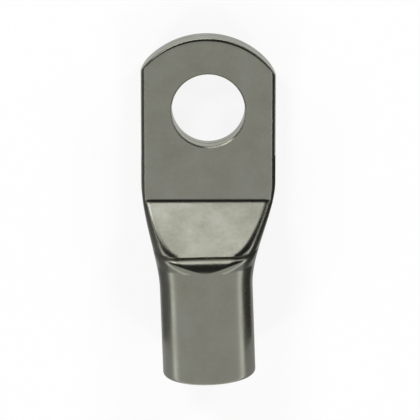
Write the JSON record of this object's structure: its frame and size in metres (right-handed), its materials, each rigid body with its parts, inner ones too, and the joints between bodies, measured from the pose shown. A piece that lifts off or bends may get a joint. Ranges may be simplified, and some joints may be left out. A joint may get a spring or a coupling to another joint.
{
  "type": "copper cable lug",
  "caption": "Crimp cable lug: a round tube barrel for a stranded conductor, pressed down through a sloping facet to a flat palm with a stud hole.",
  "frame": {"origin": "centre of the stud hole on the palm's back face", "axes": "+Y along the palm's centre line from the barrel's mouth to the palm's round end, +Z out of the palm's front face"},
  "size_m": [0.0154, 0.0393, 0.0107],
  "materials": {
    "tinned_copper": "satin electroplated tin over copper, silver grey, with a light tumbled mottle"
  },
  "bodies": {
    "root": {"lug": "tinned_copper"}
  },
  "joints": []
}
